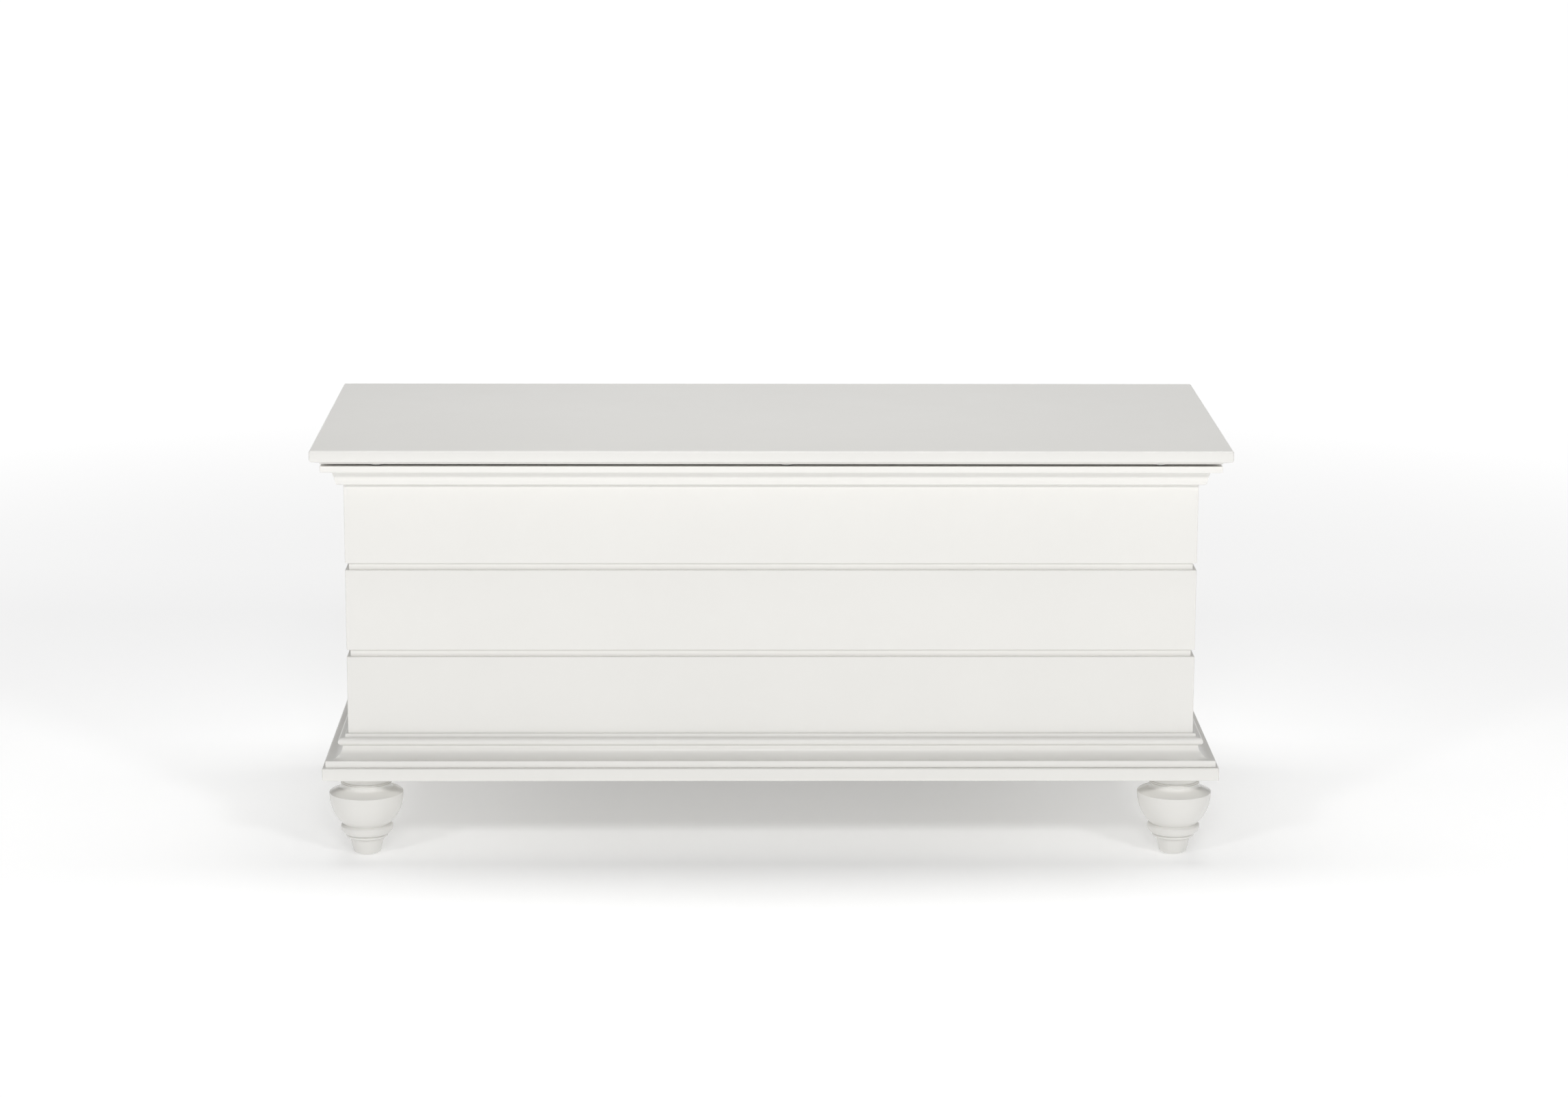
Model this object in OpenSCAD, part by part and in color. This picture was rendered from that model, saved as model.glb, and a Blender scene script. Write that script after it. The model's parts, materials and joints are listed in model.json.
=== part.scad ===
// A cottage toy chest: a case of lapped boards with a crown and a base moulding,
// four turned feet, and a flat lid on butt hinges and two friction lid supports.
// Millimetres. +X runs to the right, the front faces -Y and +Z is up. The origin
// is on the floor, under the middle of the chest.

/* [Overall] */
// Width of the lid
lid_w = 1120; // [900:10:1300]
// Depth of the lid, from its front edge to the back of the case
lid_d = 480; // [420:10:600]
// Height of the lid's top above the floor
total_h = 520; // [480:5:600]

/* [Lid] */
// Thickness of the lid
lid_t = 18; // [17:1:24]
// How far the lid stands out past the boards, at the front and the sides
lid_overhang = 38; // [36:1:44]
// Gap between the case and the closed lid, which the bumpers keep open
lid_gap = 3; // [3:0.5:5]
// Places of the clear bumpers along the front edge
bumper_x = [-480, 18, 472];
// Radius of a bumper
bumper_r = 9; // [5:0.5:11]

/* [Case boards] */
// Thickness of the boards
board_t = 18; // [18:1:22]
// Height of the bottom board's face, from the base board up
bottom_face_h = 134.5; // [120:0.5:150]
// Height of the middle board's face
middle_face_h = 100.5; // [80:0.5:110]
// Height of the groove between two boards
groove_h = 8.5; // [5:0.5:12]
// Depth of the groove between two boards
groove_d = 4.4; // [3:0.2:6]
// Thickness of the back panel
back_t = 6; // [4:1:8]
// Width of a square corner post
post_w = 30; // [26:1:36]
// Thickness of the hinge rail and the cleat behind the case
stretcher_t = 24; // [22:1:28]

/* [Mouldings] */
// Thickness of the flat top rail
rail_t = 8; // [7:0.5:10]
// How far the top rail stands out past the boards
rail_out = 26; // [25:0.5:28]
// Height of the crown moulding under the top rail
crown_h = 18.5; // [17:0.5:22]
// Thickness of the base board
base_t = 16; // [14:1:20]
// How far the base board stands out past the boards
base_out = 30.4; // [29:0.2:34]

/* [Feet] */
// Height of the base board's underside above the floor
foot_h = 105; // [100:1:115]
// Distance from a foot's axis to the edges of the base board
foot_inset = 50; // [48:1:70]
// Thickness of the nylon glide under a foot
glide_t = 2; // [1.5:0.5:3]

/* [Hinges] */
// Places of the butt hinges along the back
hinge_x = [-440, 0, 440];
// Places of the friction lid supports along the back
support_x = [-220, 220];
// Length of a butt hinge
hinge_len = 70; // [60:1:90]
// Length of a support's friction barrel
barrel_len = 60; // [50:1:80]
// Thickness of the hinge leaves
leaf_t = 1.3; // [1:0.1:1.4]

/* [Hidden] */

$fn = 64;

// Radii and clearances of the hinges
knuckle_r = 4;
pin_r = 1.5;
barrel_r = 5;
sleeve_r = 3.4;
shaft_r = 2;
fixed_fit = 0.02;
running_fit = 0.06;
end_gap = 0.3;
leaf_step = 0.3;
barrel_back_gap = 0.4;
knuckle_count = 5;
support_knuckle = 8;
tab_depth = 1.3;

// Overall lengths along Y and Z
front_y = -(lid_d + 2 * barrel_r + barrel_back_gap) / 2;
back_y = front_y + lid_d;
axis_y = back_y + barrel_back_gap + barrel_r;
base_z = foot_h + base_t;
rail_top_z = total_h - lid_t - lid_gap;
rail_z = rail_top_z - rail_t;
lid_z = total_h - lid_t;
axis_z = rail_top_z + lid_gap / 2;

// The case
case_x = lid_w / 2 - lid_overhang;
case_y = front_y + lid_overhang;
inner_x = case_x - board_t;
inner_y = case_y + board_t;
panel_y = back_y - back_t;
post_x = inner_x - post_w;
mitre_out = 80;
mitre_in = 120;

// The lapped joint between two boards
tongue_h = 6.5;
slot_h = 7;
tongue_back = 11;
middle_z = base_z + bottom_face_h + groove_h;
top_z = middle_z + middle_face_h + groove_h;
stretcher_h = 50;
cleat_h = 20;

// Feet
foot_x = case_x + base_out - foot_inset;
foot_front_y = case_y - base_out + foot_inset;
foot_back_y = back_y - foot_inset + 2;
bolt_r = 4;
bolt_foot_len = 40;
insert_r = 5.5;
insert_len = 12;
glide_r = 9;
glide_nail_r = 1;
glide_nail_len = 14;

// Screws: shank radius, head radius, head depth and length
screw_fit = 0.1;
small_screw = [1.6, 2.9, 1.3, 15];
post_screw = [2, 4, 2.2, 42];
base_screw = [2, 4, 2.2, 46];
panel_screw = [1.75, 3.4, 1.8, 18];
leaf_screw_x = [-24, 0, 24];
leaf_screw_y = back_y - 14;
leaf_y = back_y - 24;
panel_screw_z = [180, 270, 360, rail_z - 26];
panel_screw_x = [-300, -100, 100, 300];
front_screw_x = [-400, -200, 0, 200, 400];
side_screw_y = [-90, 0, 90];
post_screw_z = [base_z + 80, middle_z + 50, top_z + 60];
cross_screw_step = 15;

// The points of an arc of an ellipse about c, from angle a0 to a1
function arc(c, rx, ry, a0, a1, steps) =
    [for (i = [0 : steps]) let (a = a0 + (a1 - a0) * i / steps) [c.x + rx * cos(a), c.y + ry * sin(a)]];

// A board's section: x is the depth from its face, y the height
function board_outline(z0, z1, tongue, slot) = concat(
    [[0, z0], [0, z1]],
    tongue ? [
        [groove_d, z1],
        [groove_d, z1 + groove_h + tongue_h],
        [tongue_back, z1 + groove_h + tongue_h],
        [tongue_back, z1 + groove_h],
        [board_t, z1 + groove_h]
    ] : [[board_t, z1]],
    [[board_t, z0]],
    slot ? [[tongue_back, z0], [tongue_back, z0 + slot_h], [groove_d, z0 + slot_h], [groove_d, z0]] : []
);

// Sections of the crown and the base moulding: x is minus the projection
function crown_outline() = concat(
    [[0, rail_z - crown_h], [0, rail_z], [-13.5, rail_z], [-11.9, rail_z - 4.5], [-10, rail_z - 11.5]],
    arc([-6.4, rail_z - crown_h + 2.4], 2.4, 2.4, 175, 270, 5)
);
function base_outline() = concat(
    [[0, base_z], [0, base_z + 37.8], [-2.4, base_z + 37.8], [-3.4, base_z + 36.8], [-3.4, base_z + 35.4]],
    [[-4.9, base_z + 33.6], [-8.6, base_z + 33.6]],
    arc([-7.6, base_z + 29], 4.2, 4.4, 110, 260, 8),
    [[-6.5, base_z + 24.2]],
    arc([-21.6, base_z + 23.8], 15.1, 15.1, 0, -90, 9),
    [[-26.2, base_z + 8.5], [-26.2, base_z]]
);

// Section of the lid's moulded edge: x is the distance in from the edge
function lid_edge() = concat(
    [[12, lid_z], [12, lid_z + 1.3], [8.3, lid_z + 2.4]],
    arc([3.9, lid_z + 7.4], 3.9, 3.9, -95, -180, 5),
    arc([3, total_h - 3], 3, 3, 180, 90, 5)
);
// The same edge at both sides of a width w, and at its front only
function both_edges(w) = concat(
    [for (p = lid_edge()) [p.x - w / 2, p.y]],
    [for (p = reverse(lid_edge())) [w / 2 - p.x, p.y]]
);
function front_edge(depth) = concat(
    [for (p = lid_edge()) [p.x, p.y]],
    [[depth, total_h], [depth, lid_z]]
);
function reverse(list) = [for (i = [len(list) - 1 : -1 : 0]) list[i]];

// The turned foot: x is the radius, y the height above the floor
function foot_outline() = concat(
    [[0, glide_t]],
    arc([14.3, glide_t + 3.2], 3.2, 3.2, -90, -8, 4),
    [[21.2, 22]],
    arc([24.1, 24], 2, 2, -90, 75, 7),
    arc([24.8, 35.7], 7.9, 9.7, -86, 0, 7),
    arc([24.8, 35.7], 7.9, 4.3, 11, 55, 4),
    arc([6.4, 78], 39.6, 47.3, -54, 0, 12),
    arc([45.3, 79.2], 0.7, 0.7, 5, 67, 3),
    arc([35.8, 89.4], 5, 5, -112.6, -180, 5),
    arc([30.6, 91.1], 0.9, 0.9, -60, 90, 5),
    arc([29.9, 92.9], 0.9, 0.9, -60, 90, 5),
    [[29.2, 94.4], [29.2, foot_h], [0, foot_h]]
);

// Lays a section along X, its x towards the back, or along Y, its x towards +X
module along_x(x0, length) {
    translate([x0, 0, 0]) rotate([90, 0, 90]) linear_extrude(length) children();
}
module along_y(y0, length) {
    translate([0, y0 + length, 0]) rotate([90, 0, 0]) linear_extrude(length) children();
}

// The plan of everything between the two front mitres, and of the left side
module front_plan() {
    linear_extrude(total_h) polygon([
        [-case_x - mitre_out, case_y - mitre_out], [case_x + mitre_out, case_y - mitre_out],
        [case_x - mitre_in, case_y + mitre_in], [-case_x + mitre_in, case_y + mitre_in]
    ]);
}
module left_plan() {
    linear_extrude(total_h) polygon([
        [-case_x - mitre_out, case_y - mitre_out], [-case_x + mitre_in, case_y + mitre_in],
        [-case_x + mitre_in, back_y], [-case_x - mitre_out, back_y]
    ]);
}

// A strip of section children() across the front or down the left side
module front_strip() {
    intersection() {
        along_x(-case_x - mitre_out, 2 * (case_x + mitre_out))
            translate([case_y, 0]) children();
        front_plan();
    }
}
module left_strip() {
    intersection() {
        along_y(case_y - mitre_out, back_y - case_y + mitre_out)
            translate([-case_x, 0]) children();
        left_plan();
    }
}

// A countersunk screw, its head's flat top at z = 0 and its point down, and its hole
module screw(size) {
    rotate_extrude() polygon([
        [0, 0], [size[1], 0], [size[0], -size[2]], [size[0], -size[3] + 2], [0, -size[3]]
    ]);
}
module screw_hole(size) {
    rotate_extrude() polygon([
        [0, 0.01], [size[1] + screw_fit, 0.01], [size[0] + screw_fit, -size[2]],
        [size[0] + screw_fit, -size[3] - 1], [0, -size[3] - 1]
    ]);
}

// Puts children() at the screws of both sides' posts, of the back panel and of the base
module at_post_screws() {
    for (side = [0, 1]) mirror([side, 0, 0]) {
        for (y = [inner_y + post_w / 2, panel_y - post_w / 2]) {
            for (z = post_screw_z) translate([post_x, y, z]) rotate([0, -90, 0]) children();
        }
        for (z = post_screw_z) {
            translate([post_x + post_w / 2, inner_y + post_w, z + cross_screw_step])
                rotate([-90, 0, 0]) children();
        }
    }
}
module at_panel_screws() {
    for (side = [-1, 1]) for (z = panel_screw_z) {
        translate([side * (post_x + post_w / 2), back_y, z]) rotate([-90, 0, 0]) children();
    }
    for (x = panel_screw_x) for (z = [base_z + cleat_h / 2, rail_z - stretcher_h / 2]) {
        translate([x, back_y, z]) rotate([-90, 0, 0]) children();
    }
}
module at_base_screws() {
    for (side = [-1, 1]) {
        for (y = [inner_y + post_w / 2, panel_y - post_w / 2]) {
            translate([side * (post_x + post_w / 2), y, foot_h]) rotate([180, 0, 0]) children();
        }
        for (y = side_screw_y) {
            translate([side * (case_x - board_t / 2), y, foot_h]) rotate([180, 0, 0]) children();
        }
    }
    for (x = front_screw_x) translate([x, case_y + board_t / 2, foot_h]) rotate([180, 0, 0]) children();
}
// Screws of every leaf, at the top of the case leaves or the underside of the lid leaves
module at_leaf_screws() {
    for (x = concat(hinge_x, support_x)) for (dx = leaf_screw_x) {
        translate([x + dx, leaf_screw_y, 0]) children();
    }
}
module at_feet() {
    for (x = [-foot_x, foot_x]) for (y = [foot_front_y, foot_back_y]) translate([x, y, 0]) children();
}

// Case boards
module front_board(z0, z1, tongue, slot) {
    color("#ecebe7") difference() {
        front_strip() polygon(board_outline(z0, z1, tongue, slot));
        at_post_screws() screw_hole(post_screw);
        at_base_screws() screw_hole(base_screw);
    }
}
module left_board(z0, z1, tongue, slot) {
    color("#ecebe7") difference() {
        left_strip() polygon(board_outline(z0, z1, tongue, slot));
        at_post_screws() screw_hole(post_screw);
        at_base_screws() screw_hole(base_screw);
    }
}
module front_board_top() { front_board(top_z, rail_z, false, true); }
module front_board_middle() { front_board(middle_z, middle_z + middle_face_h, true, true); }
module front_board_bottom() { front_board(base_z, base_z + bottom_face_h, true, false); }
module left_board_top() { left_board(top_z, rail_z, false, true); }
module left_board_middle() { left_board(middle_z, middle_z + middle_face_h, true, true); }
module left_board_bottom() { left_board(base_z, base_z + bottom_face_h, true, false); }
module right_board_top() { mirror([1, 0, 0]) left_board_top(); }
module right_board_middle() { mirror([1, 0, 0]) left_board_middle(); }
module right_board_bottom() { mirror([1, 0, 0]) left_board_bottom(); }

// The back panel, the base board and the strips that stiffen the back
module back_panel() {
    color("#e4e3de") difference() {
        translate([-inner_x, panel_y, base_z]) cube([2 * inner_x, back_t, rail_z - base_z]);
        at_panel_screws() screw_hole(panel_screw);
    }
}
module base_board() {
    color("#e8e7e2") difference() {
        translate([-case_x - base_out, case_y - base_out, foot_h])
            cube([2 * (case_x + base_out), back_y - case_y + base_out, base_t]);
        at_base_screws() screw_hole(base_screw);
        at_feet() translate([0, 0, foot_h - 1]) cylinder(r = insert_r + fixed_fit, h = insert_len + 2);
    }
}
module hinge_rail() {
    color("#dcdbd6") difference() {
        translate([-post_x, panel_y - stretcher_t, rail_z - stretcher_h])
            cube([2 * post_x, stretcher_t, stretcher_h]);
        at_panel_screws() screw_hole(panel_screw);
        at_leaf_screws() translate([0, 0, rail_top_z + leaf_t]) screw_hole(small_screw);
    }
}
module back_cleat() {
    color("#dcdbd6") difference() {
        translate([-post_x, panel_y - stretcher_t, base_z]) cube([2 * post_x, stretcher_t, cleat_h]);
        at_panel_screws() screw_hole(panel_screw);
    }
}
module right_post(y0) {
    color("#dcdbd6") difference() {
        translate([post_x, y0, base_z]) cube([post_w, post_w, rail_z - base_z]);
        at_post_screws() screw_hole(post_screw);
        at_panel_screws() screw_hole(panel_screw);
        at_base_screws() screw_hole(base_screw);
    }
}
module post_front_right() { right_post(inner_y); }
module post_back_right() { right_post(panel_y - post_w); }
module post_front_left() { mirror([1, 0, 0]) post_front_right(); }
module post_back_left() { mirror([1, 0, 0]) post_back_right(); }

// The flat rail on top of the boards
module rail_section() {
    translate([-rail_out, rail_z]) square([rail_out + board_t, rail_t]);
}
module top_rail_front() { color("#ecebe7") front_strip() rail_section(); }
module top_rail_left() { color("#ecebe7") left_strip() rail_section(); }
module top_rail_right() { mirror([1, 0, 0]) top_rail_left(); }
module top_rail_back() {
    color("#ecebe7") difference() {
        translate([-inner_x, panel_y - stretcher_t, rail_z])
            cube([2 * inner_x, stretcher_t + back_t, rail_t]);
        at_leaf_screws() translate([0, 0, rail_top_z + leaf_t]) screw_hole(small_screw);
    }
}

// Mouldings under the top rail and above the base board
module crown_front() { color("#e6e4df") front_strip() polygon(crown_outline()); }
module crown_left() { color("#e6e4df") left_strip() polygon(crown_outline()); }
module crown_right() { mirror([1, 0, 0]) crown_left(); }
module base_moulding_front() { color("#efeeea") front_strip() polygon(base_outline()); }
module base_moulding_left() { color("#efeeea") left_strip() polygon(base_outline()); }
module base_moulding_right() { mirror([1, 0, 0]) base_moulding_left(); }

// A turned foot, with its bolt's hole and its glide's nail hole
module foot(x, y) {
    color("#e6e5e0") translate([x, y, 0]) difference() {
        rotate_extrude() polygon(foot_outline());
        translate([0, 0, foot_h - bolt_foot_len]) cylinder(r = bolt_r + fixed_fit, h = bolt_foot_len + 1);
        cylinder(r = glide_nail_r + fixed_fit, h = glide_nail_len + 1);
    }
}
module foot_front_left() { foot(-foot_x, foot_front_y); }
module foot_front_right() { foot(foot_x, foot_front_y); }
module foot_back_left() { foot(-foot_x, foot_back_y); }
module foot_back_right() { foot(foot_x, foot_back_y); }
module foot_inserts() {
    color("#b9a15a") at_feet() translate([0, 0, foot_h]) difference() {
        cylinder(r = insert_r, h = insert_len);
        translate([0, 0, -1]) cylinder(r = bolt_r + fixed_fit, h = insert_len + 2);
    }
}
module foot_bolts() {
    color("#b8babd") at_feet() translate([0, 0, foot_h - bolt_foot_len + 1])
        cylinder(r = bolt_r, h = bolt_foot_len + insert_len - 2);
}
module foot_glides() {
    color("#f4f3ee") at_feet() rotate_extrude() polygon([
        [0, 0], [glide_r - 2, 0], [glide_r, glide_t - 0.8], [glide_r, glide_t],
        [glide_nail_r, glide_t], [glide_nail_r, glide_nail_len - 2], [0, glide_nail_len]
    ]);
}

// One tube of a hinge, along X about the lid's axis
module knuckle(x0, length, r) {
    translate([x0, axis_y, axis_z]) rotate([0, 90, 0]) cylinder(r = r, h = length);
}
function knuckle_len() = (hinge_len - (knuckle_count - 1) * end_gap) / knuckle_count;
function knuckle_x(i) = -hinge_len / 2 + i * (knuckle_len() + end_gap);

// A butt hinge's leaf: knuckles number first, first + 2 and so on, and the plate at z0
module butt_leaf(first, z0) {
    translate([-hinge_len / 2, leaf_y, z0])
        cube([hinge_len, axis_y - knuckle_r - leaf_step - leaf_y, leaf_t]);
    for (i = [first : 2 : knuckle_count - 1]) {
        knuckle(knuckle_x(i), knuckle_len(), knuckle_r);
        translate([knuckle_x(i), leaf_y, z0])
            cube([knuckle_len(), axis_y - knuckle_r + tab_depth - leaf_y, leaf_t]);
    }
}
module hinge_case_leaves() {
    color("#b8babd") difference() {
        for (x = hinge_x) translate([x, 0, 0]) difference() {
            butt_leaf(0, rail_top_z);
            knuckle(-hinge_len, 2 * hinge_len, pin_r + fixed_fit);
        }
        at_leaf_screws() translate([0, 0, rail_top_z + leaf_t]) screw_hole(small_screw);
    }
}
module hinge_lid_leaves() {
    color("#b8babd") difference() {
        for (x = hinge_x) translate([x, 0, 0]) difference() {
            butt_leaf(1, lid_z - leaf_t);
            knuckle(-hinge_len, 2 * hinge_len, pin_r + running_fit);
        }
        at_leaf_screws() translate([0, 0, lid_z - leaf_t]) mirror([0, 0, 1]) screw_hole(small_screw);
    }
}
module hinge_pins() {
    color("#a7a9ac") for (x = hinge_x) translate([x, 0, 0]) knuckle(-hinge_len / 2, hinge_len, pin_r);
}

// A lid support: a barrel on the case that grips a shaft held by the lid's leaf
module support_barrels() {
    color("#c9cacc") difference() {
        for (x = support_x) translate([x, 0, 0]) difference() {
            union() {
                knuckle(-barrel_len / 2, barrel_len, barrel_r);
                translate([-barrel_len / 2, leaf_y, rail_top_z])
                    cube([barrel_len, axis_y - barrel_r + tab_depth - leaf_y, leaf_t]);
            }
            knuckle(-barrel_len, 2 * barrel_len, sleeve_r + fixed_fit);
        }
        at_leaf_screws() translate([0, 0, rail_top_z + leaf_t]) screw_hole(small_screw);
    }
}
module support_sleeves() {
    color("#3f4246") for (x = support_x) translate([x, 0, 0]) difference() {
        knuckle(-barrel_len / 2, barrel_len, sleeve_r);
        knuckle(-barrel_len, 2 * barrel_len, shaft_r + running_fit);
    }
}
module support_lid_leaves() {
    half = barrel_len / 2 + end_gap;
    color("#c9cacc") difference() {
        for (x = support_x) translate([x, 0, 0]) difference() {
            union() {
                translate([-half - support_knuckle, leaf_y, lid_z - leaf_t])
                    cube([2 * (half + support_knuckle), axis_y - barrel_r - leaf_step - leaf_y, leaf_t]);
                for (x0 = [-half - support_knuckle, half]) {
                    knuckle(x0, support_knuckle, barrel_r);
                    translate([x0, leaf_y, lid_z - leaf_t])
                        cube([support_knuckle, axis_y - barrel_r + tab_depth - leaf_y, leaf_t]);
                }
            }
            knuckle(-barrel_len, 2 * barrel_len, shaft_r + fixed_fit);
        }
        at_leaf_screws() translate([0, 0, lid_z - leaf_t]) mirror([0, 0, 1]) screw_hole(small_screw);
    }
}
module support_shafts() {
    half = barrel_len / 2 + end_gap + support_knuckle;
    color("#a7a9ac") for (x = support_x) translate([x, 0, 0]) knuckle(-half, 2 * half, shaft_r);
}

// Screws
module hinge_case_screws() {
    color("#c2c3c5") at_leaf_screws() translate([0, 0, rail_top_z + leaf_t]) screw(small_screw);
}
module hinge_lid_screws() {
    color("#c2c3c5") at_leaf_screws() translate([0, 0, lid_z - leaf_t]) mirror([0, 0, 1]) screw(small_screw);
}
module post_screws() { color("#c2c3c5") at_post_screws() screw(post_screw); }
module back_panel_screws() { color("#c2c3c5") at_panel_screws() screw(panel_screw); }
module base_screws() { color("#c2c3c5") at_base_screws() screw(base_screw); }

// The lid and its bumpers
module lid_panel() {
    color("#d8d8d4") difference() {
        intersection() {
            along_x(-lid_w / 2, lid_w) translate([front_y, 0]) polygon(front_edge(lid_d));
            along_y(front_y, lid_d) polygon(both_edges(lid_w));
        }
        at_leaf_screws() translate([0, 0, lid_z - leaf_t]) mirror([0, 0, 1]) screw_hole(small_screw);
    }
}
module lid_bumpers() {
    bumper_t = lid_gap - end_gap / 2;
    color("#f2f2f0") for (x = bumper_x) translate([x, case_y - rail_out + bumper_r + 2, lid_z])
        rotate_extrude() polygon(concat(
            [[0, 0]], [[bumper_r, 0]],
            arc([bumper_r * 0.6, 0], bumper_r * 0.4, bumper_t, -15, -90, 5),
            [[0, -bumper_t]]
        ));
}

front_board_top();
front_board_middle();
front_board_bottom();
left_board_top();
left_board_middle();
left_board_bottom();
right_board_top();
right_board_middle();
right_board_bottom();
back_panel();
base_board();
hinge_rail();
back_cleat();
post_front_left();
post_front_right();
post_back_left();
post_back_right();
top_rail_front();
top_rail_left();
top_rail_right();
top_rail_back();
crown_front();
crown_left();
crown_right();
base_moulding_front();
base_moulding_left();
base_moulding_right();
foot_front_left();
foot_front_right();
foot_back_left();
foot_back_right();
foot_inserts();
foot_bolts();
foot_glides();
hinge_case_leaves();
hinge_pins();
support_barrels();
support_sleeves();
hinge_case_screws();
post_screws();
back_panel_screws();
base_screws();
lid_panel();
lid_bumpers();
hinge_lid_leaves();
support_lid_leaves();
support_shafts();
hinge_lid_screws();
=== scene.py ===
"""A white cottage-style toy chest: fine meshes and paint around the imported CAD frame, in metres."""
import json
import math

import bmesh
import bpy
from mathutils import Matrix, Vector


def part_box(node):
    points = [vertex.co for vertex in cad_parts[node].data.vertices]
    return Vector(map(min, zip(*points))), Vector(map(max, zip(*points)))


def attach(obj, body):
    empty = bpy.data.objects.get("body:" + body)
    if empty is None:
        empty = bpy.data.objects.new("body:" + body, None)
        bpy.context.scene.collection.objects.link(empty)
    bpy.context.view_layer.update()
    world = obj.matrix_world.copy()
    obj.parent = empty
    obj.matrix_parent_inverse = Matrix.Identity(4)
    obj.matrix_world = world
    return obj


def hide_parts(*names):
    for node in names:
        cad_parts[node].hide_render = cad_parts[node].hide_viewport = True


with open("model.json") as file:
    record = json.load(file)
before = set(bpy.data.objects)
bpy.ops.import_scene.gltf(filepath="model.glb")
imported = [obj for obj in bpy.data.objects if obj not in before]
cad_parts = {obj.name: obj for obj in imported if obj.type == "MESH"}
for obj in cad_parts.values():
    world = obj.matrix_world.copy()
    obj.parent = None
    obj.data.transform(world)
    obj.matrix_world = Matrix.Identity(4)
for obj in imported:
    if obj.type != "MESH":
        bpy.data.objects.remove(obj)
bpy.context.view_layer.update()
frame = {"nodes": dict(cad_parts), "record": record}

MM = 0.001
SIDES = ("front", "left", "right")

# Places taken from the frame
FRONT_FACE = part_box("front_board_middle")
CASE_X = FRONT_FACE[1].x
CASE_Y = FRONT_FACE[0].y
BOARD_T = FRONT_FACE[1].y - FRONT_FACE[0].y
BACK_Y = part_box("back_panel")[1].y
BASE_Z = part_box("base_board")[1].z
RAIL_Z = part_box("top_rail_front")[0].z
LID_LO, LID_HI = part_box("lid_panel")

# The lapped joint between two boards
GROOVE_H = 8.5 * MM
GROOVE_D = 4.4 * MM
TONGUE_BACK = 11 * MM
TONGUE_H = 6.5 * MM
SLOT_H = 7 * MM

# Eased edges, and corners rounded in plan
BOARD_EASE = 1.1 * MM
BOARD_CORNER = 1.3 * MM
MOULDING_CORNER = 0.8 * MM
RAIL_EASE = 1.0 * MM
RAIL_CORNER = 1.2 * MM
BACK_RAIL_EASE = 0.6 * MM
BASE_EASE = 1.5 * MM
BASE_CORNER = 2 * MM
LID_TOP_ROUND = 3 * MM
LID_CORNER = 3 * MM
LID_BACK_CORNER = 1.5 * MM
BUMPER_RIM = 0.5 * MM
LUMBER_EASE = 0.8 * MM
FITTING_EASE = 0.2 * MM
HINGE_EASE = 0.15 * MM

# Edges are shaded smooth below these angles in degrees: flat work, and turned pieces and screws
SMOOTH_BELOW = 35
TURNED_SMOOTH_BELOW = 30


# ---------------------------------------------------------------- outlines

def arc(cx, cy, rx, ry, start, end, steps):
    """Points of an elliptical arc, angles in degrees."""
    angles = [math.radians(start + (end - start) * i / steps) for i in range(steps + 1)]
    return [(cx + rx * math.cos(a), cy + ry * math.sin(a)) for a in angles]


def eased(points, radii, steps=4):
    """A closed outline with corner i rounded to radii[i]; corners that radii leaves out stay sharp."""
    made = []
    for i, point in enumerate(points):
        if i not in radii:
            made.append(tuple(point))
            continue
        corner = Vector(point)
        before = (Vector(points[i - 1]) - corner).normalized()
        after = (Vector(points[(i + 1) % len(points)]) - corner).normalized()
        half = before.angle(after) / 2
        centre = corner + (before + after).normalized() * (radii[i] / math.sin(half))
        reach = radii[i] / math.tan(half)
        first = corner + before * reach - centre
        last = corner + after * reach - centre
        sweep = first.angle_signed(last)
        for k in range(steps + 1):
            spoke = Matrix.Rotation(-sweep * k / steps, 2) @ first
            made.append(tuple(centre + spoke))
    return made


def board_outline(z0, z1, tongue, slot):
    """A board's section: depth behind its face, and height."""
    points = [(0, z0), (0, z1)]
    if tongue:
        top = z1 + GROOVE_H
        points += [(GROOVE_D, z1), (GROOVE_D, top + TONGUE_H), (TONGUE_BACK, top + TONGUE_H)]
        points += [(TONGUE_BACK, top), (BOARD_T, top)]
    else:
        points += [(BOARD_T, z1)]
    points += [(BOARD_T, z0)]
    if slot:
        points += [(TONGUE_BACK, z0), (TONGUE_BACK, z0 + SLOT_H)]
        points += [(GROOVE_D, z0 + SLOT_H), (GROOVE_D, z0)]
    return eased(points, {0: BOARD_EASE, 1: BOARD_EASE})


def crown_outline():
    """The crown: a steep, slightly hollow slope that ends in a rounded lip."""
    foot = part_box("crown_front")[0].z
    points = [(0, foot), (0, RAIL_Z), (-13.5 * MM, RAIL_Z)]
    points += [(-12.6 * MM, RAIL_Z - 2 * MM), (-11.8 * MM, RAIL_Z - 4.6 * MM)]
    points += [(-11.0 * MM, RAIL_Z - 7.6 * MM), (-10.2 * MM, RAIL_Z - 10.8 * MM)]
    points += [(-9.4 * MM, RAIL_Z - 14.2 * MM)]
    points += arc(-6.4 * MM, foot + 2.4 * MM, 2.4 * MM, 2.4 * MM, 175, 270, 10)
    return points


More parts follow.
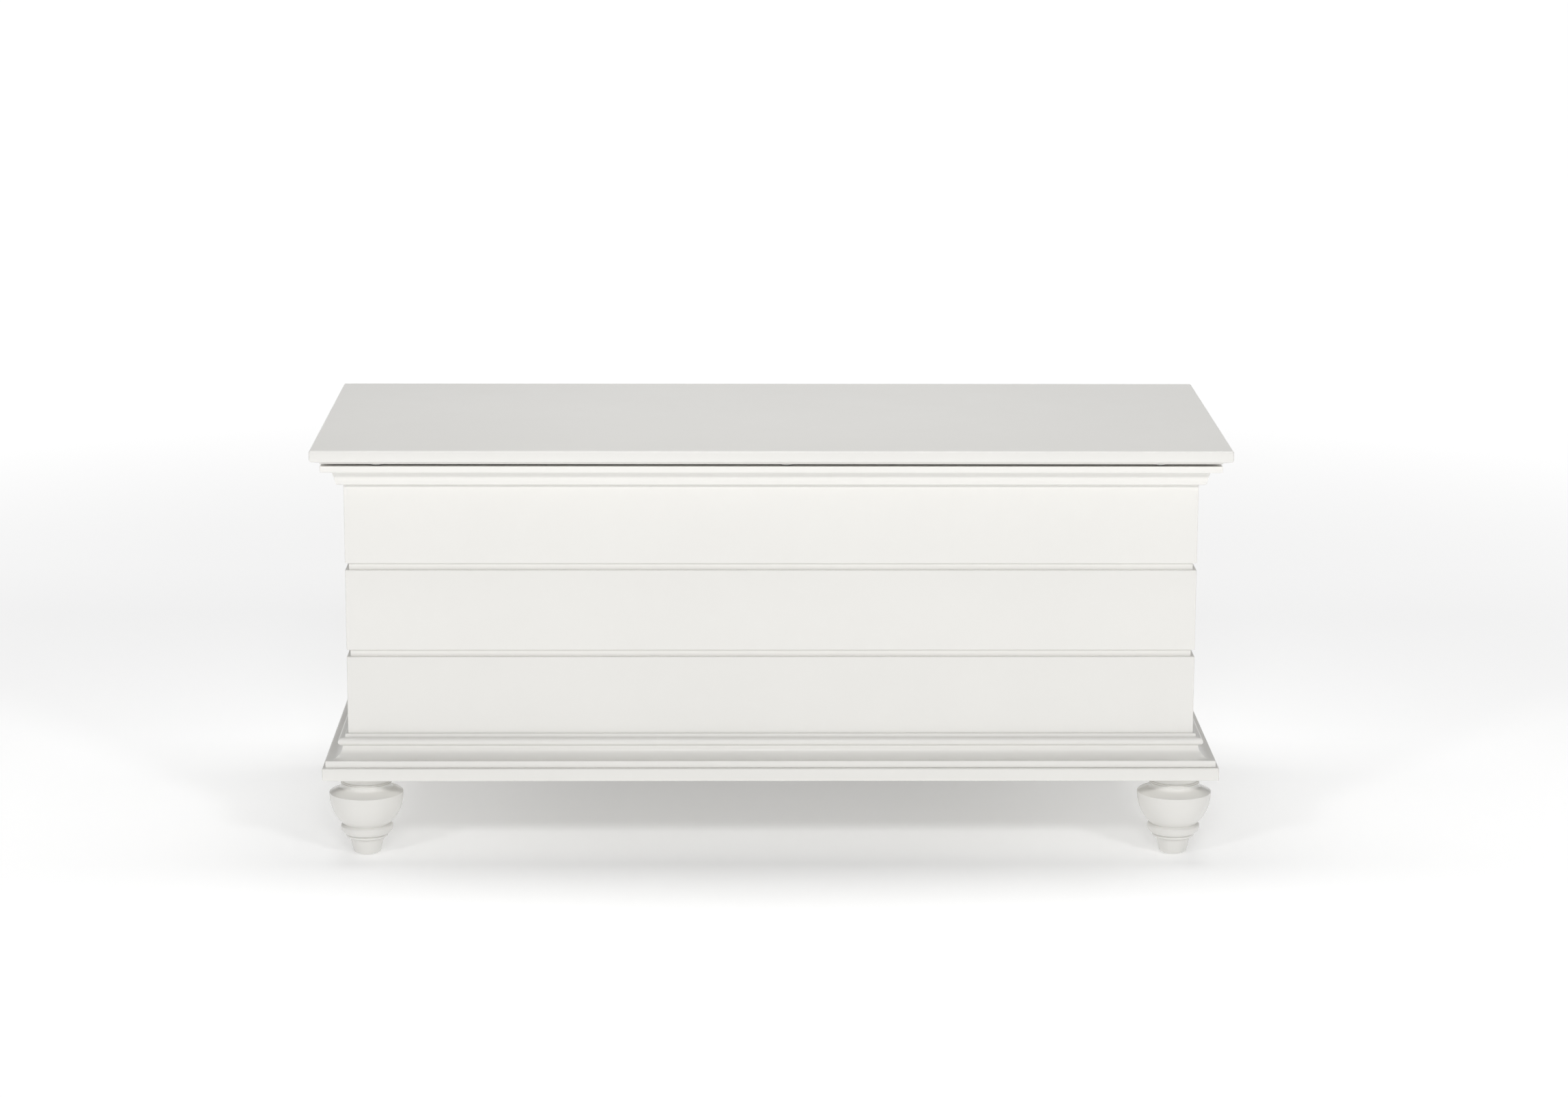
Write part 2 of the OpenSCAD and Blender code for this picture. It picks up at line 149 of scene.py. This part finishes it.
def base_outline():
    """The base moulding, from its top down: depth behind the case's face, and height."""
    points = [(0, 0), (0, 37.8)]
    points += arc(-2.2, 36.4, 1.2, 1.4, 90, 180, 4)             # the step's rounded edge
    points += [(-3.4, 35.4)]
    points += arc(-4.9, 35.2, 1.5, 1.6, -8, -80, 4)             # the hollow above the bead
    points += arc(-7.6, 29, 4.2, 4.6, 112, 262, 16)             # the bead
    points += [(-6.5, 24.1)]
    points += arc(-21.6, 23.8, 15.1, 15.1, 0, -90, 20)          # the cove
    points += arc(-25.5, 8.0, 0.7, 0.7, 90, 180, 3)             # the fillet's two eased edges
    points += arc(-25.5, 0.75, 0.7, 0.7, 180, 270, 3)
    return [(depth * MM, BASE_Z + height * MM) for depth, height in points]


def rail_outline():
    """The flat rail on top of the boards, with its front edges well rounded."""
    lo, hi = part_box("top_rail_front")
    out, back = lo.y - CASE_Y, hi.y - CASE_Y
    corners = [(out, lo.z), (out, hi.z), (back, hi.z), (back, lo.z)]
    return eased(corners, {0: RAIL_EASE, 1: RAIL_EASE, 2: BOARD_EASE, 3: BOARD_EASE}, 5)


def lid_sections():
    """The lid's edge from the underside up: inset at the front and sides, inset at the back, height."""
    z = LID_LO.z
    edge = [(12 * MM, z), (12 * MM, z + 1.3 * MM), (10.4 * MM, z + 1.75 * MM), (8.3 * MM, z + 2.4 * MM)]
    edge += arc(3.9 * MM, z + 7.4 * MM, 3.9 * MM, 3.9 * MM, 265, 180, 8)
    edge += arc(LID_TOP_ROUND, LID_HI.z - LID_TOP_ROUND, LID_TOP_ROUND, LID_TOP_ROUND, 180, 90, 8)
    made = [(14 * MM, BOARD_EASE, z)]
    for inset, height in edge:
        top_gap = max(0.0, BOARD_EASE - (LID_HI.z - height))
        low_gap = max(0.0, BOARD_EASE - (height - z))
        gap = max(top_gap, low_gap)
        made.append((inset, BOARD_EASE - math.sqrt(max(BOARD_EASE ** 2 - gap ** 2, 0.0)), height))
    return made


def foot_outline():
    """The turned foot from the floor up: radius and height."""
    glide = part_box("foot_front_left")[0].z / MM
    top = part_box("foot_front_left")[1].z / MM
    points = [(0, glide)]
    points += arc(14.3, glide + 3.2, 3.2, 3.2, -90, -8, 7)      # the toe's rounded edge
    points += [(21.2, 22)]
    points += arc(24.1, 24, 2, 2, -90, 75, 12)                  # the thin ring
    points += arc(24.8, 35.7, 7.9, 9.7, -86, 0, 14)             # the bead, fuller below its middle
    points += arc(24.8, 35.7, 7.9, 4.3, 0, 55, 8)[1:]
    points += arc(6.4, 78, 39.6, 47.3, -54, 0, 28)              # the bowl
    points += arc(45.3, 79.2, 0.7, 0.7, 5, 67, 4)               # the bowl's rim
    points += arc(35.8, 89.4, 5, 5, -112.6, -180, 12)           # the hollow of the shoulder
    points += arc(30.6, 91.1, 0.9, 0.9, -60, 90, 7)             # two small rings
    points += arc(29.9, 92.9, 0.9, 0.9, -60, 90, 7)
    points += [(29.2, 94.4), (29.2, top), (0, top)]             # the neck
    return [(r * MM, z * MM) for r, z in points]


# ---------------------------------------------------------------- meshes

def new_object(name, vertices, faces, smooth_below=SMOOTH_BELOW):
    """A mesh object with outward normals, shaded smooth except at sharp edges."""
    mesh = bpy.data.meshes.new(name)
    mesh.from_pydata([tuple(v) for v in vertices], [], faces)
    work = bmesh.new()
    work.from_mesh(mesh)
    bmesh.ops.remove_doubles(work, verts=work.verts, dist=1e-7)
    bmesh.ops.recalc_face_normals(work, faces=work.faces)
    limit = math.radians(smooth_below)
    for edge in work.edges:
        edge.smooth = len(edge.link_faces) == 2 and edge.calc_face_angle(0) < limit
    for face in work.faces:
        face.smooth = True
    work.to_mesh(mesh)
    work.free()
    piece = bpy.data.objects.new(name, mesh)
    bpy.context.scene.collection.objects.link(piece)
    return piece


def bridge(rings):
    """Vertices and quads that join equal rings of points, with a face over each end."""
    count = len(rings[0])
    vertices = [v for ring in rings for v in ring]
    faces = []
    for r in range(len(rings) - 1):
        a, b = r * count, (r + 1) * count
        for i in range(count):
            j = (i + 1) % count
            faces.append((a + i, a + j, b + j, b + i))
    faces.append(tuple(range(count)))
    faces.append(tuple(range((len(rings) - 1) * count, len(rings) * count)))
    return vertices, faces


def strip_stations(side, corner, steps=4):
    """Functions from depth behind the case's face to a plan point, from one end of a strip to the other."""
    def front_end(angle, x_side):
        s, c = corner * math.sin(angle), corner * math.cos(angle)
        return lambda u: (x_side * (CASE_X - u - corner + s), CASE_Y + u + corner - c)

    def side_end(angle, x_side):
        s, c = corner * math.sin(angle), corner * math.cos(angle)
        return lambda u: (x_side * (CASE_X - u - corner + c), CASE_Y + u + corner - s)

    def back_end(x_side):
        return lambda u: (x_side * (CASE_X - u), BACK_Y)

    angles = [math.pi / 4 * k / steps for k in range(steps + 1)]
    if side == "front":
        return [front_end(a, -1) for a in reversed(angles)] + [front_end(a, 1) for a in angles]
    x_side = -1 if side == "left" else 1
    return [side_end(a, x_side) for a in reversed(angles)] + [back_end(x_side)]


def strip(name, outline, side, corner):
    """A mitred strip of that section across the front or down one side, with its mitred arris eased."""
    rings = [[(*station(u), z) for u, z in outline] for station in strip_stations(side, corner)]
    return new_object(name, *bridge(rings))


def plan_ring(x0, x1, y0, y1, front_r, back_r, z, steps=5):
    """A rectangle in plan with rounded corners, as a ring of points at height z."""
    corners = [
        (x1 - back_r, y1 - back_r, back_r, 0), (x0 + back_r, y1 - back_r, back_r, 90),
        (x0 + front_r, y0 + front_r, front_r, 180), (x1 - front_r, y0 + front_r, front_r, 270),
    ]
    ring = []
    for cx, cy, r, start in corners:
        ring += [(x, y, z) for x, y in arc(cx, cy, r, r, start, start + 90, steps)]
    return ring


def slab(name, lo, hi, sections, front_r, back_r):
    """A board lying flat, from sections of (inset at the front and sides, inset at the back, height)."""
    least = 0.2 * MM
    rings = []
    for inset, back_inset, z in sections:
        rings.append(plan_ring(
            lo.x + inset, hi.x - inset, lo.y + inset, hi.y - back_inset,
            max(front_r - inset, least), max(back_r - inset, least), z,
        ))
    return new_object(name, *bridge(rings))


def eased_sections(lo, hi, ease, steps=4):
    """Sections of a plain board with the same eased edge all round."""
    low = arc(ease, lo.z + ease, ease, ease, 270, 180, steps)
    high = arc(ease, hi.z - ease, ease, ease, 180, 90, steps)
    return [(inset, inset, z) for inset, z in low + high]


def turned(name, outline, centre, segments=128):
    """A piece turned about a vertical axis: outline points are (radius, height), from axis to axis."""
    vertices = [(centre[0], centre[1], outline[0][1])]
    rings = outline[1:-1]
    for radius, z in rings:
        for k in range(segments):
            a = 2 * math.pi * k / segments
            vertices.append((centre[0] + radius * math.cos(a), centre[1] + radius * math.sin(a), z))
    vertices.append((centre[0], centre[1], outline[-1][1]))
    last = len(vertices) - 1
    faces = []
    for k in range(segments):
        n = (k + 1) % segments
        faces.append((0, 1 + n, 1 + k))
        for r in range(len(rings) - 1):
            a, b = 1 + r * segments, 1 + (r + 1) * segments
            faces.append((a + k, a + n, b + n, b + k))
        top = 1 + (len(rings) - 1) * segments
        faces.append((last, top + k, top + n))
    return new_object(name, vertices, faces, TURNED_SMOOTH_BELOW)


def islands(node):
    """The separate solids of a CAD node, each as a list of points."""
    mesh = frame["nodes"][node].data
    work = bmesh.new()
    work.from_mesh(mesh)
    bmesh.ops.remove_doubles(work, verts=work.verts, dist=1e-6)
    work.verts.ensure_lookup_table()
    seen, found = set(), []
    for start in work.verts:
        if start.index in seen:
            continue
        stack, points = [start], []
        seen.add(start.index)
        while stack:
            vertex = stack.pop()
            points.append(vertex.co.copy())
            for edge in vertex.link_edges:
                other = edge.other_vert(vertex)
                if other.index not in seen:
                    seen.add(other.index)
                    stack.append(other)
        found.append(points)
    work.free()
    return found


def corners_of(points):
    """Lowest and highest corner of a list of points."""
    lo = Vector([min(p[i] for p in points) for i in range(3)])
    hi = Vector([max(p[i] for p in points) for i in range(3)])
    return lo, hi


# ---------------------------------------------------------------- materials

# The parts of a noise's range that a colour and a number run over
COLOUR_RANGE = (0.35, 0.65)
VALUE_RANGE = (0.3, 0.7)
# Paint: how fine its noises are, per metre, and how high its bumps, in metres
PAINT_CLOUD, PAINT_GLOSS, PAINT_PEEL, PAINT_WAVES = 3.5, 22, 420, 30
PEEL_HEIGHT, WAVE_HEIGHT = 0.0004, 0.0012
METAL_GRAIN, METAL_BUMP, METAL_HEIGHT = 500, 0.08, 0.00003
PLASTIC_GRAIN, PLASTIC_BUMP, PLASTIC_HEIGHT = 700, 0.1, 0.00005

def shader(name):
    """A new material and its principled shader."""
    material = bpy.data.materials.new(name)
    material.use_nodes = True
    return material, material.node_tree.nodes["Principled BSDF"]


def noise(material, scale, detail, stretch=(1, 1, 1)):
    """Noise in the object's own coordinates."""
    nodes, links = material.node_tree.nodes, material.node_tree.links
    place = nodes.new("ShaderNodeTexCoord")
    mapping = nodes.new("ShaderNodeMapping")
    mapping.inputs["Scale"].default_value = stretch
    texture = nodes.new("ShaderNodeTexNoise")
    texture.inputs["Scale"].default_value = scale
    texture.inputs["Detail"].default_value = detail
    links.new(place.outputs["Object"], mapping.inputs["Vector"])
    links.new(mapping.outputs["Vector"], texture.inputs["Vector"])
    return texture.outputs["Fac"]


def ramp(material, source, low, high):
    """A colour ramp from low to high over part of a noise's range."""
    node = material.node_tree.nodes.new("ShaderNodeValToRGB")
    for stop, position, colour in zip(node.color_ramp.elements, COLOUR_RANGE, (low, high)):
        stop.position = position
        stop.color = (*colour, 1)
    material.node_tree.links.new(source, node.inputs["Fac"])
    return node.outputs["Color"]


def spread(material, source, low, high):
    """A noise value mapped to a range."""
    node = material.node_tree.nodes.new("ShaderNodeMapRange")
    node.inputs["From Min"].default_value, node.inputs["From Max"].default_value = VALUE_RANGE
    node.inputs["To Min"].default_value = low
    node.inputs["To Max"].default_value = high
    material.node_tree.links.new(source, node.inputs["Value"])
    return node.outputs["Result"]


def bump(material, bsdf, source, strength, height, after=None):
    """Adds a bump of that strength and height, in metres, on top of an earlier one."""
    node = material.node_tree.nodes.new("ShaderNodeBump")
    node.inputs["Strength"].default_value = strength
    node.inputs["Distance"].default_value = height
    links = material.node_tree.links
    links.new(source, node.inputs["Height"])
    if after is not None:
        links.new(after, node.inputs["Normal"])
    links.new(node.outputs["Normal"], bsdf.inputs["Normal"])
    return node.outputs["Normal"]


def paint(name, colour, roughness, peel=0.10):
    """Sprayed satin paint: a little cloudiness in colour and gloss, and fine orange peel."""
    material, bsdf = shader(name)
    cloud = noise(material, PAINT_CLOUD, 3)
    low = tuple(c * 0.982 for c in colour)
    material.node_tree.links.new(ramp(material, cloud, low, colour), bsdf.inputs["Base Color"])
    gloss = noise(material, PAINT_GLOSS, 4)
    material.node_tree.links.new(
        spread(material, gloss, roughness - 0.02, roughness + 0.03), bsdf.inputs["Roughness"]
    )
    orange_peel = noise(material, PAINT_PEEL, 2)
    first = bump(material, bsdf, orange_peel, peel, PEEL_HEIGHT)
    waves = noise(material, PAINT_WAVES, 2)
    bump(material, bsdf, waves, peel, WAVE_HEIGHT, first)
    bsdf.inputs["IOR"].default_value = 1.5
    return material


def metal(name, colour, roughness, stretch=(1, 1, 1)):
    """Plated or bright metal with fine brushing."""
    material, bsdf = shader(name)
    streaks = noise(material, METAL_GRAIN, 3, stretch)
    low = tuple(c * 0.94 for c in colour)
    material.node_tree.links.new(ramp(material, streaks, low, colour), bsdf.inputs["Base Color"])
    material.node_tree.links.new(
        spread(material, streaks, roughness - 0.03, roughness + 0.04), bsdf.inputs["Roughness"]
    )
    bump(material, bsdf, streaks, METAL_BUMP, METAL_HEIGHT)
    bsdf.inputs["Metallic"].default_value = 1.0
    return material


def plastic(name, colour, roughness, transmission=0.0):
    """Moulded plastic with a faint texture."""
    material, bsdf = shader(name)
    grain = noise(material, PLASTIC_GRAIN, 2)
    low = tuple(c * 0.95 for c in colour)
    material.node_tree.links.new(ramp(material, grain, low, colour), bsdf.inputs["Base Color"])
    material.node_tree.links.new(
        spread(material, grain, max(roughness - 0.03, 0.02), roughness + 0.04), bsdf.inputs["Roughness"]
    )
    bump(material, bsdf, grain, PLASTIC_BUMP, PLASTIC_HEIGHT)
    bsdf.inputs["Transmission Weight"].default_value = transmission
    bsdf.inputs["IOR"].default_value = 1.46
    return material


# Linear colours, then the roughness, and how strongly the paint's peel shows
WHITE = (0.815, 0.805, 0.775)
MATERIALS = {
    "case_paint": paint("case_paint", WHITE, 0.34),
    "moulding_paint": paint("moulding_paint", WHITE, 0.31, 0.05),
    "foot_paint": paint("foot_paint", (0.80, 0.79, 0.76), 0.22, 0.04),
    "inside_paint": paint("inside_paint", (0.79, 0.78, 0.745), 0.46, 0.16),
    "lid_paint": paint("lid_paint", WHITE, 0.36, 0.08),
    "nickel": metal("nickel", (0.62, 0.60, 0.57), 0.30, (0.08, 1, 1)),
    "steel": metal("steel", (0.56, 0.57, 0.58), 0.24),
    "zinc_screws": metal("zinc_screws", (0.66, 0.67, 0.69), 0.32),
    "brass": metal("brass", (0.72, 0.56, 0.28), 0.30),
    "acetal": plastic("acetal", (0.045, 0.045, 0.05), 0.45),
    "nylon": plastic("nylon", (0.80, 0.79, 0.75), 0.42),
    "clear_bumper": plastic("clear_bumper", (0.93, 0.94, 0.93), 0.14, 0.45),
}


def dress(piece, slot):
    """Gives a piece its slot's material."""
    piece.data.materials.clear()
    piece.data.materials.append(MATERIALS[slot])


def place(piece, body, slot, *nodes):
    """Puts a finished piece on its body, in its slot, in place of its CAD nodes."""
    dress(piece, slot)
    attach(piece, body)
    if nodes:
        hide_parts(*nodes)
    return piece


# ---------------------------------------------------------------- the case

def make_boards():
    """Nine lapped boards: three heights on each of three sides."""
    bottoms = {level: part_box(f"front_board_{level}")[0].z for level in ("bottom", "middle", "top")}
    tops = {
        "bottom": bottoms["middle"] - GROOVE_H,
        "middle": bottoms["top"] - GROOVE_H,
        "top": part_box("front_board_top")[1].z,
    }
    for level in ("bottom", "middle", "top"):
        outline = board_outline(bottoms[level], tops[level], level != "top", level != "bottom")
        for side in SIDES:
            node = f"{side}_board_{level}"
            place(strip(node + ".fine", outline, side, BOARD_CORNER), "case", "case_paint", node)


def make_mouldings():
    """The top rail, the crown and the base moulding on each of three sides."""
    kinds = (
        ("top_rail", rail_outline(), RAIL_CORNER, "case_paint"),
        ("crown", crown_outline(), MOULDING_CORNER, "moulding_paint"),
        ("base_moulding", base_outline(), MOULDING_CORNER, "moulding_paint"),
    )
    for kind, outline, corner, slot in kinds:
        for side in SIDES:
            node = f"{kind}_{side}"
            place(strip(node + ".fine", outline, side, corner), "case", slot, node)


def make_flat_boards():
    """The base board under the case and the rail across the back."""
    lo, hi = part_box("base_board")
    sections = eased_sections(lo, hi, BASE_EASE)
    base = slab("base_board.fine", lo, hi, sections, BASE_CORNER, BASE_EASE)
    place(base, "case", "moulding_paint", "base_board")
    lo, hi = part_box("top_rail_back")
    sections = eased_sections(lo, hi, BACK_RAIL_EASE)
    rail = slab("top_rail_back.fine", lo, hi, sections, BACK_RAIL_EASE, BACK_RAIL_EASE)
    place(rail, "case", "case_paint", "top_rail_back")


def make_feet():
    """Four turned feet."""
    outline = foot_outline()
    for corner in ("front_left", "front_right", "back_left", "back_right"):
        node = "foot_" + corner
        lo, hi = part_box(node)
        centre = (lo + hi) / 2
        place(turned(node + ".fine", outline, centre), "case", "foot_paint", node)


# ---------------------------------------------------------------- the lid

def make_lid():
    """The lid panel, its edge moulded at the front and the sides."""
    lid = slab("lid_panel.fine", LID_LO, LID_HI, lid_sections(), LID_CORNER, LID_BACK_CORNER)
    place(lid, "lid", "lid_paint", "lid_panel")


def make_bumpers():
    """Clear domed bumpers stuck under the front edge of the lid."""
    for i, points in enumerate(islands("lid_bumpers")):
        lo, hi = corners_of(points)
        centre, radius, height = (lo + hi) / 2, (hi.x - lo.x) / 2, hi.z - lo.z
        dome = arc(0, hi.z - BUMPER_RIM, radius, height - BUMPER_RIM, -90, 0, 12)
        outline = dome + [(radius, hi.z), (0, hi.z)]
        piece = turned(f"lid_bumper_{i + 1}", outline, centre, 48)
        place(piece, "lid", "clear_bumper")
        if i == 0:
            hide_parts("lid_bumpers")


# ---------------------------------------------------------------- hardware

# A wood screw: its dome and rim, its thread, and its shank's share of the head's radius
SCREW_DOME, SCREW_RIM = 0.25 * MM, 0.12 * MM
SCREW_PITCH, SCREW_THREAD = 1.2 * MM, 0.35 * MM
SCREW_SHANK = 0.52
SCREW_SEGMENTS = 32
# Each screw was driven home to its own angle: radians for each face made before it
SCREW_TURN = 0.9


def screw_mesh(length, head_r, shank_r):
    """A countersunk wood screw, its head's rim at height 0 and its point down, with a cross recess."""
    dome, rim, pitch = SCREW_DOME, SCREW_RIM, SCREW_PITCH
    spokes = [2 * math.pi * k / SCREW_SEGMENTS for k in range(SCREW_SEGMENTS)]
    profile = [(head_r * 0.5, dome * 0.8), (head_r * 0.8, dome * 0.45), (head_r, 0), (head_r, -rim)]
    profile += [(shank_r, -rim - (head_r - shank_r) * 0.9)]
    z = profile[-1][1] - pitch
    while z > -length + 4 * pitch:
        profile += [(shank_r - SCREW_THREAD, z), (shank_r, z - pitch * 0.5)]
        z -= pitch
    profile += [(shank_r * 0.45, z - pitch)]
    arm, slot_w, sink = head_r * 0.62, head_r * 0.2, head_r * 0.55
    rings = []
    for height, reach, width in ((-sink, arm * 0.35, slot_w * 0.5), (dome, arm, slot_w)):
        ring = []
        for a in spokes:
            quarter = (a + math.pi / 4) % (math.pi / 2) - math.pi / 4
            across = width / max(abs(math.sin(quarter)), 1e-3)
            radius = min(reach, across)
            ring.append((radius * math.cos(a), radius * math.sin(a), height))
        rings.append(ring)
    for radius, z in profile + [(0.05 * MM, -length)]:
        rings.append([(radius * math.cos(a), radius * math.sin(a), z) for a in spokes])
    return bridge(rings)


def make_screws(node, body):
    """Screws with cross recesses in place of a node of plain ones, joined into one piece."""
    vertices, faces = [], []
    for points in islands(node):
        lo, hi = corners_of(points)
        size = hi - lo
        axis = max(range(3), key=lambda i: size[i])
        middle = (lo + hi) / 2
        others = [i for i in range(3) if i != axis]
        head_r = size[others[0]] / 2
        wide = [p for p in points if math.hypot(*(p[i] - middle[i] for i in others)) > head_r * 0.9]
        head_high = sum(p[axis] for p in wide) / len(wide) > middle[axis]
        top = middle.copy()
        top[axis] = hi[axis] if head_high else lo[axis]
        along = Vector((0, 0, 0))
        along[axis] = 1 if head_high else -1
        turn = along.to_track_quat("Z", "Y").to_matrix().to_4x4()
        twist = Matrix.Rotation(SCREW_TURN * len(faces) % math.pi, 4, "Z")
        part, part_faces = screw_mesh(size[axis], head_r, head_r * SCREW_SHANK)
        start = len(vertices)
        vertices += [Matrix.Translation(top) @ turn @ twist @ Vector(v) for v in part]
        faces += [tuple(start + i for i in face) for face in part_faces]
    piece = new_object(node + ".fine", vertices, faces, TURNED_SMOOTH_BELOW)
    place(piece, body, "zinc_screws", node)


def soften(node, width, slot):
    """A carried-over CAD node: its edges are eased and it gets its slot's material."""
    piece = frame["nodes"][node]
    weld = piece.modifiers.new("weld", "WELD")
    weld.merge_threshold = 1e-6
    edges = piece.modifiers.new("eased", "BEVEL")
    edges.width = width
    edges.segments = 2
    edges.limit_method = "ANGLE"
    edges.angle_limit = math.radians(50)
    edges.harden_normals = True
    dress(piece, slot)


def finish_hardware():
    """Screws, and the CAD nodes that keep their own shape. The back panel's edges stay as they are."""
    for node in ("hinge_case_screws", "post_screws", "back_panel_screws", "base_screws"):
        make_screws(node, "case")
    make_screws("hinge_lid_screws", "lid")
    shown = {row["node"]: row["material_slot"] for row in frame["record"]["subparts"]}
    dress(frame["nodes"]["back_panel"], shown["back_panel"])
    for node in ("hinge_rail", "back_cleat", "post_front_left", "post_front_right",
                 "post_back_left", "post_back_right"):
        soften(node, LUMBER_EASE, shown[node])
    for node in ("hinge_case_leaves", "hinge_lid_leaves", "support_barrels", "support_lid_leaves",
                 "hinge_pins", "support_shafts"):
        soften(node, HINGE_EASE, shown[node])
    for node in ("foot_inserts", "foot_bolts", "foot_glides", "support_sleeves"):
        soften(node, FITTING_EASE, shown[node])


# ---------------------------------------------------------------- the studio

# The camera: place in metres, degrees it looks down, turns to the left and rolls, lens in millimetres
CAMERA_AT = (-0.055, -5.18, 1.458)
CAMERA_DOWN_LEFT_ROLL = (12.1, -0.81, 0.18)
LENS = 95.4

FLOOR_SIZE = 60
FLOOR_DROP = 0.2 * MM
FLOOR_GREYS = (0.86, 0.87)
# How strongly the floor glows at three distances from its middle: under the chest, round it, far off
GLOW = ((0.2, 0.18), (0.8, 0.38), (4.0, 0.86))
# The surround: white up to the first elevation in degrees, and at that strength from the second on
SURROUND = ((6, 1.0), (12, 0.15))
# Name, azimuth from the front and elevation in degrees, distance, size in metres, power in watts
LIGHTS = (
    ("key_box", 0, 30, 6.0, (1.0, 0.8), 44),
    ("left_box", -32, 26, 6.0, (0.7, 0.7), 46),
    ("right_box", 30, 26, 6.0, (0.7, 0.7), 58),
    ("top_box", 180, 86, 2.0, (2.4, 0.8), 26),
)
LIT_POINT = Vector((0, 0, 0.3))


def area_light(name, location, target, size, power):
    """A soft rectangular light aimed at a point."""
    data = bpy.data.lights.new(name, "AREA")
    data.shape = "RECTANGLE"
    data.size, data.size_y = size
    data.energy = power
    light = bpy.data.objects.new(name, data)
    bpy.context.scene.collection.objects.link(light)
    light.location = location
    light.rotation_euler = (target - location).to_track_quat("-Z", "Y").to_euler()


def make_floor():
    """A pale floor that glows a little more the further it is from the chest, so that it stays white."""
    half = FLOOR_SIZE / 2
    square = [(-half, -half, 0), (half, -half, 0), (half, half, 0), (-half, half, 0)]
    floor = new_object("floor", square, [(0, 1, 2, 3)])
    floor.location.z = -FLOOR_DROP
    material, bsdf = shader("floor")
    nodes, links = material.node_tree.nodes, material.node_tree.links
    cloud = noise(material, 0.6, 2)
    low, high = ((grey, grey, grey) for grey in FLOOR_GREYS)
    links.new(ramp(material, cloud, low, high), bsdf.inputs["Base Color"])
    bsdf.inputs["Roughness"].default_value = 0.9
    bsdf.inputs["Specular IOR Level"].default_value = 0.1
    bsdf.inputs["Emission Color"].default_value = (1, 1, 1, 1)
    place_on_floor = nodes.new("ShaderNodeTexCoord")
    distance = nodes.new("ShaderNodeVectorMath")
    distance.operation = "LENGTH"
    share = nodes.new("ShaderNodeMath")
    share.operation = "DIVIDE"
    share.inputs[1].default_value = GLOW[-1][0]
    glow = nodes.new("ShaderNodeValToRGB")
    glow.color_ramp.interpolation = "EASE"
    stops = glow.color_ramp.elements
    for stop, (reach, strength) in zip((stops[0], stops.new(0.5), stops[-1]), GLOW):
        stop.position = reach / GLOW[-1][0]
        stop.color = (strength, strength, strength, 1)
    links.new(place_on_floor.outputs["Object"], distance.inputs[0])
    links.new(distance.outputs["Value"], share.inputs[0])
    links.new(share.outputs["Value"], glow.inputs["Fac"])
    links.new(glow.outputs["Color"], bsdf.inputs["Emission Strength"])
    floor.data.materials.append(material)


def make_surround():
    """A surround that is white round the horizon and dimmer overhead."""
    world = bpy.data.worlds.new("surround")
    world.use_nodes = True
    nodes, links = world.node_tree.nodes, world.node_tree.links
    direction = nodes.new("ShaderNodeTexCoord")
    split = nodes.new("ShaderNodeSeparateXYZ")
    sky = nodes.new("ShaderNodeValToRGB")
    for stop, (elevation, strength) in zip(sky.color_ramp.elements, SURROUND):
        stop.position = math.sin(math.radians(elevation))
        stop.color = (strength, strength, strength, 1)
    links.new(direction.outputs["Generated"], split.inputs["Vector"])
    links.new(split.outputs["Z"], sky.inputs["Fac"])
    links.new(sky.outputs["Color"], nodes["Background"].inputs["Color"])
    bpy.context.scene.world = world


def make_lights():
    """Soft boxes in front, at the front corners and overhead."""
    bpy.context.scene.view_settings.view_transform = "Standard"
    for name, azimuth, elevation, distance, size, power in LIGHTS:
        a, e = math.radians(azimuth), math.radians(elevation)
        away = Vector((math.sin(a) * math.cos(e), -math.cos(a) * math.cos(e), math.sin(e))) * distance
        area_light(name, LIT_POINT + away, LIT_POINT, size, power)


def make_camera():
    """The photographer's place: in front, a little to the left and above."""
    data = bpy.data.cameras.new("camera")
    data.sensor_width = 36
    data.lens = LENS
    data.clip_end = 200
    camera = bpy.data.objects.new("camera", data)
    bpy.context.scene.collection.objects.link(camera)
    pitch, yaw, roll = (math.radians(angle) for angle in CAMERA_DOWN_LEFT_ROLL)
    look = Matrix.Rotation(yaw, 4, "Z") @ Matrix.Rotation(math.pi / 2 - pitch, 4, "X")
    camera.matrix_world = Matrix.Translation(CAMERA_AT) @ look @ Matrix.Rotation(roll, 4, "Z")
    bpy.context.scene.camera = camera


make_camera()
make_floor()
make_surround()
make_lights()
make_boards()
make_mouldings()
make_flat_boards()
make_feet()
make_lid()
make_bumpers()
finish_hardware()
